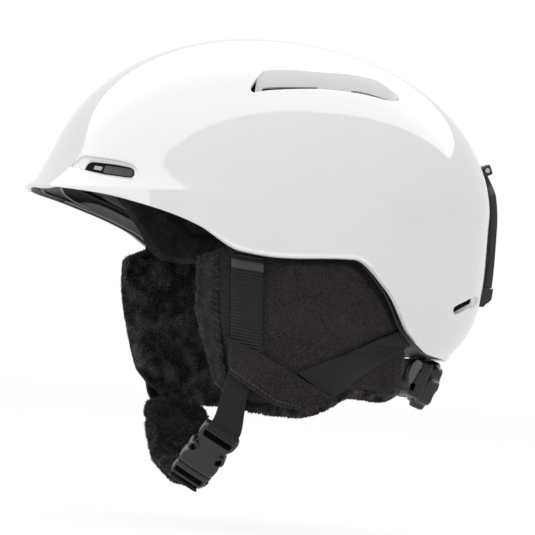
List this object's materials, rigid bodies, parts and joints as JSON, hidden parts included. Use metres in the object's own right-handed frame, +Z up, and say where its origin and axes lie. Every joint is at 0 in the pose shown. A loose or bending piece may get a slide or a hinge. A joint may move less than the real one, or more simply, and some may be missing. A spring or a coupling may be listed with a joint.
{
  "type": "snow helmet",
  "caption": "Hard-shell snow helmet with brim, vents, plush ear pads, chin strap with side-release buckle, nape fit dial and rear goggle lock.",
  "frame": {"origin": "middle of the head opening at ear level, on the helmet's middle plane", "axes": "+Z up through the crown, -Y towards the brim, +X towards the wearer's left"},
  "size_m": [0.2066, 0.2974, 0.2795],
  "materials": {
    "shell_abs": "gloss white injection-moulded ABS",
    "eps_foam": "black expanded-polystyrene foam",
    "black_plastic": "fine-textured black nylon",
    "charcoal_plastic": "satin charcoal acetal",
    "brushed_lining": "brushed knit over open foam",
    "twill": "dark diagonal twill",
    "plush": "short black plush pile",
    "webbing": "ribbed charcoal webbing",
    "steel": "plated steel",
    "rubber": "soft black moulded rubber"
  },
  "bodies": {
    "helmet": {"outer_shell": "shell_abs", "top_vent_scoop_left": "shell_abs", "top_vent_scoop_right": "shell_abs", "foam_liner": "eps_foam", "rim_trim": "black_plastic", "front_vent_grille_left": "black_plastic", "front_vent_grille_right": "black_plastic", "rear_vent_grille_left": "black_plastic", "rear_vent_grille_right": "black_plastic", "strap_anchor_left_front": "black_plastic", "strap_anchor_left_rear": "black_plastic", "strap_anchor_right_front": "black_plastic", "strap_anchor_right_rear": "black_plastic", "fit_cradle": "black_plastic", "cradle_snap_left": "black_plastic", "cradle_snap_right": "black_plastic", "dial_housing": "black_plastic", "brim_underside": "charcoal_plastic", "brow_pad": "brushed_lining", "crown_pad": "brushed_lining", "ear_pad_cover_left": "twill", "ear_pad_cover_right": "twill", "ear_pad_sleeve_left": "twill", "ear_pad_sleeve_right": "twill", "ear_pad_plush_left": "plush", "ear_pad_plush_right": "plush", "front_strap_left": "webbing", "front_strap_right": "webbing", "rear_strap_left": "webbing", "rear_strap_right": "webbing", "ear_pad_snap_left_front": "steel", "ear_pad_snap_left_rear": "steel", "ear_pad_snap_right_front": "steel", "ear_pad_snap_right_rear": "steel", "goggle_lock_pin": "steel", "goggle_lock_stud": "steel", "goggle_lock_base": "rubber"},
    "fit_dial": {"fit_dial": "charcoal_plastic", "dial_pinion": "black_plastic"},
    "fit_band_left": {"fit_band_left": "black_plastic", "nape_pad_left": "brushed_lining"},
    "fit_band_right": {"fit_band_right": "black_plastic", "nape_pad_right": "brushed_lining"},
    "goggle_lock": {"goggle_lock_band": "rubber", "goggle_lock_clip": "rubber"},
    "chin_loop": {"buckle_socket": "charcoal_plastic", "chin_strap_left": "webbing", "chin_strap_right": "webbing"},
    "buckle_half": {"buckle_tongue": "charcoal_plastic", "tongue_guide": "charcoal_plastic", "tongue_strap": "webbing", "chin_pad": "plush"},
    "prong_front": {"buckle_prong_front": "charcoal_plastic"},
    "prong_rear": {"buckle_prong_rear": "charcoal_plastic"}
  },
  "joints": [
    {"name": "fit_dial_turn", "type": "hinge", "parent": "helmet", "child": "fit_dial", "pos_m": [0, 0.09167, -0.0677], "axis": [0, 0.9455, -0.3256], "range_deg": [-110, 110]},
    {"name": "fit_band_left_slide", "type": "hinge", "parent": "helmet", "child": "fit_band_left", "pos_m": [0, 0.01981, -0.04296], "axis": [0, 0.3256, 0.9455], "range_deg": [-6.9, 6.9]},
    {"name": "fit_band_right_slide", "type": "hinge", "parent": "helmet", "child": "fit_band_right", "pos_m": [0, 0.01981, -0.04296], "axis": [0, 0.3256, 0.9455], "range_deg": [-6.9, 6.9]},
    {"name": "goggle_lock_swing", "type": "hinge", "parent": "helmet", "child": "goggle_lock", "pos_m": [0, 0.12297, 0.06814], "axis": [1, 0, 0], "range_deg": [0, 110]},
    {"name": "chin_loop_swing", "type": "hinge", "parent": "helmet", "child": "chin_loop", "pos_m": [0.09094, -0.0485, -0.072], "axis": [-0.9985, -0.0554, 0], "range_deg": [-20, 40], "deforming": ["chin_strap_left", "chin_strap_right"]},
    {"name": "buckle_release", "type": "slide", "parent": "chin_loop", "child": "buckle_half", "axis": [-0.661, -0.3064, -0.685], "range_m": [0, 0.028]},
    {"name": "prong_front_squeeze", "type": "hinge", "parent": "buckle_half", "child": "prong_front", "pos_m": [0.05733, -0.06991, -0.12421], "axis": [0.7439, -0.3875, -0.5445], "range_deg": [-7.5, 0]},
    {"name": "prong_rear_squeeze", "type": "hinge", "parent": "buckle_half", "child": "prong_rear", "pos_m": [0.05867, -0.05809, -0.13079], "axis": [0.7439, -0.3875, -0.5445], "range_deg": [0, 7.5]}
  ],
  "couplings": [
    {"joint": "fit_band_left_slide", "follows": "fit_dial_turn", "ratio": -0.061429},
    {"joint": "fit_band_right_slide", "follows": "fit_dial_turn", "ratio": 0.061429},
    {"joint": "prong_front_squeeze", "follows": "buckle_release", "rad_per_m": -4.36},
    {"joint": "prong_rear_squeeze", "follows": "buckle_release", "rad_per_m": 4.36}
  ]
}
